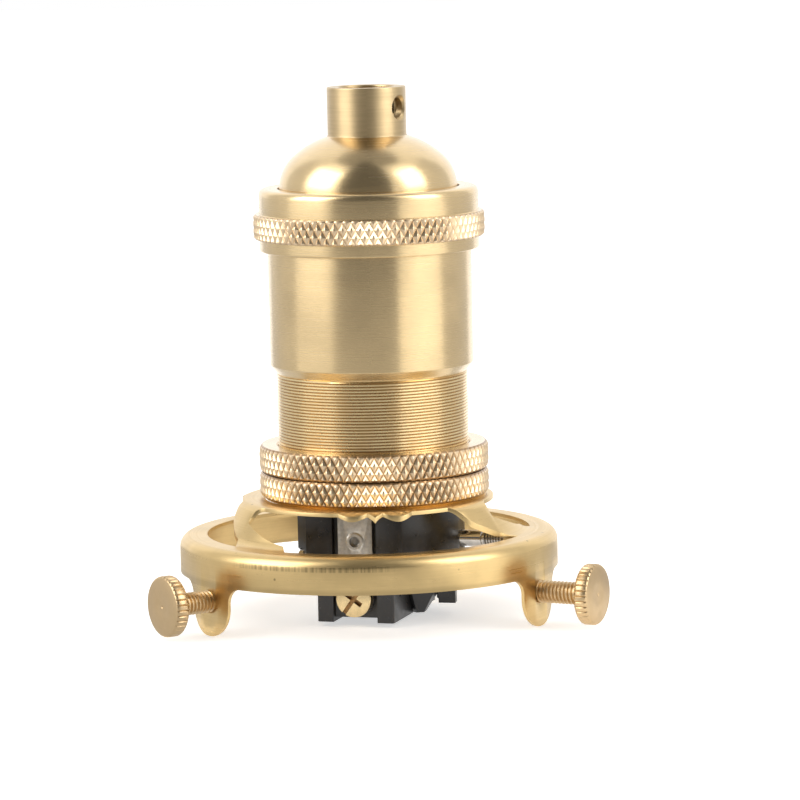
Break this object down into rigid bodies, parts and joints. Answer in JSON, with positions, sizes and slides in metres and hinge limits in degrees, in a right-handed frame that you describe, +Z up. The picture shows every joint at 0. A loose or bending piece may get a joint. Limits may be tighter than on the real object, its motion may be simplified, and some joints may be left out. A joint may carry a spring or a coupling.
{
  "type": "lamp holder",
  "caption": "Brass lamp holder: domed cap with a threaded neck, threaded shell with ring nuts, moulded socket core and a stamped shade fitter with thumb screws.",
  "frame": {"origin": "centre of the neck's mouth, at the top of the cap", "axes": "+Z up along the holder's axis and out of the neck, -Y to the front, which is the side the picture shows"},
  "size_m": [0.0794, 0.0762, 0.0926],
  "materials": {
    "spun_brass": "spun and satin turned",
    "turned_brass": "satin turned",
    "knurled_brass": "diamond knurled, bright",
    "stamped_brass": "stamped sheet, satin",
    "screw_brass": "turned, bright",
    "rolled_brass": "rolled sheet, semi-bright",
    "spring_bronze": "rolled strip, satin",
    "tinned_strip": "tinned brass strip, dull",
    "nickel_plate": "nickel plated, semi-bright",
    "moulded_phenolic": "moulded phenolic, near black"
  },
  "bodies": {
    "holder": {"outer_shell": "turned_brass", "shade_fitter": "stamped_brass", "core_body": "moulded_phenolic", "core_cover": "moulded_phenolic", "socket_sleeve": "moulded_phenolic", "lamp_screw_shell": "rolled_brass", "shell_rivets": "rolled_brass", "centre_contact": "spring_bronze", "switch_spring": "spring_bronze", "front_strip": "tinned_strip", "back_strip": "tinned_strip", "front_eyelet": "tinned_strip", "back_eyelet": "tinned_strip", "side_screw": "nickel_plate"},
    "cap": {"top_cap": "spun_brass"},
    "coupling": {"coupling_ring": "knurled_brass"},
    "lower_nut": {"lower_ring_nut": "knurled_brass"},
    "upper_nut": {"upper_ring_nut": "knurled_brass"},
    "thumb_left": {"thumb_screw_left": "screw_brass"},
    "thumb_right": {"thumb_screw_right": "screw_brass"},
    "thumb_back": {"thumb_screw_back": "screw_brass"},
    "switch": {"switch_shaft": "nickel_plate", "switch_rotor": "moulded_phenolic"},
    "front_terminal": {"front_terminal_screw": "screw_brass"},
    "back_terminal": {"back_terminal_screw": "screw_brass"}
  },
  "joints": [
    {"name": "cap_lift", "type": "slide", "parent": "holder", "child": "cap", "axis": [0, 0, 1], "range_m": [0, 0.03]},
    {"name": "coupling_turn", "type": "hinge", "parent": "cap", "child": "coupling", "pos_m": [0, 0, -0.023], "axis": [0, 0, 1], "continuous": true},
    {"name": "nut_travel", "type": "slide", "parent": "holder", "child": "lower_nut", "axis": [0, 0, 1], "range_m": [0, 0.012]},
    {"name": "upper_nut_turn", "type": "hinge", "parent": "lower_nut", "child": "upper_nut", "pos_m": [0, 0, -0.0642], "axis": [0, 0, 1], "continuous": true},
    {"name": "thumb_left_travel", "type": "slide", "parent": "holder", "child": "thumb_left", "axis": [0.8387, 0.5446, 0], "range_m": [-0.0016, 0.0065]},
    {"name": "thumb_right_travel", "type": "slide", "parent": "holder", "child": "thumb_right", "axis": [-0.891, 0.454, 0], "range_m": [0, 0.0081]},
    {"name": "thumb_back_travel", "type": "slide", "parent": "holder", "child": "thumb_back", "axis": [0.0523, -0.9986, 0], "range_m": [-0.0008, 0.0073]},
    {"name": "switch_turn", "type": "hinge", "parent": "holder", "child": "switch", "pos_m": [0, 0, -0.0786], "axis": [0.9563, -0.2924, 0], "continuous": true},
    {"name": "front_terminal_travel", "type": "slide", "parent": "holder", "child": "front_terminal", "axis": [-0.2924, -0.9563, 0], "range_m": [0, 0.0025]},
    {"name": "back_terminal_travel", "type": "slide", "parent": "holder", "child": "back_terminal", "axis": [0.2924, 0.9563, 0], "range_m": [0, 0.0025]}
  ]
}
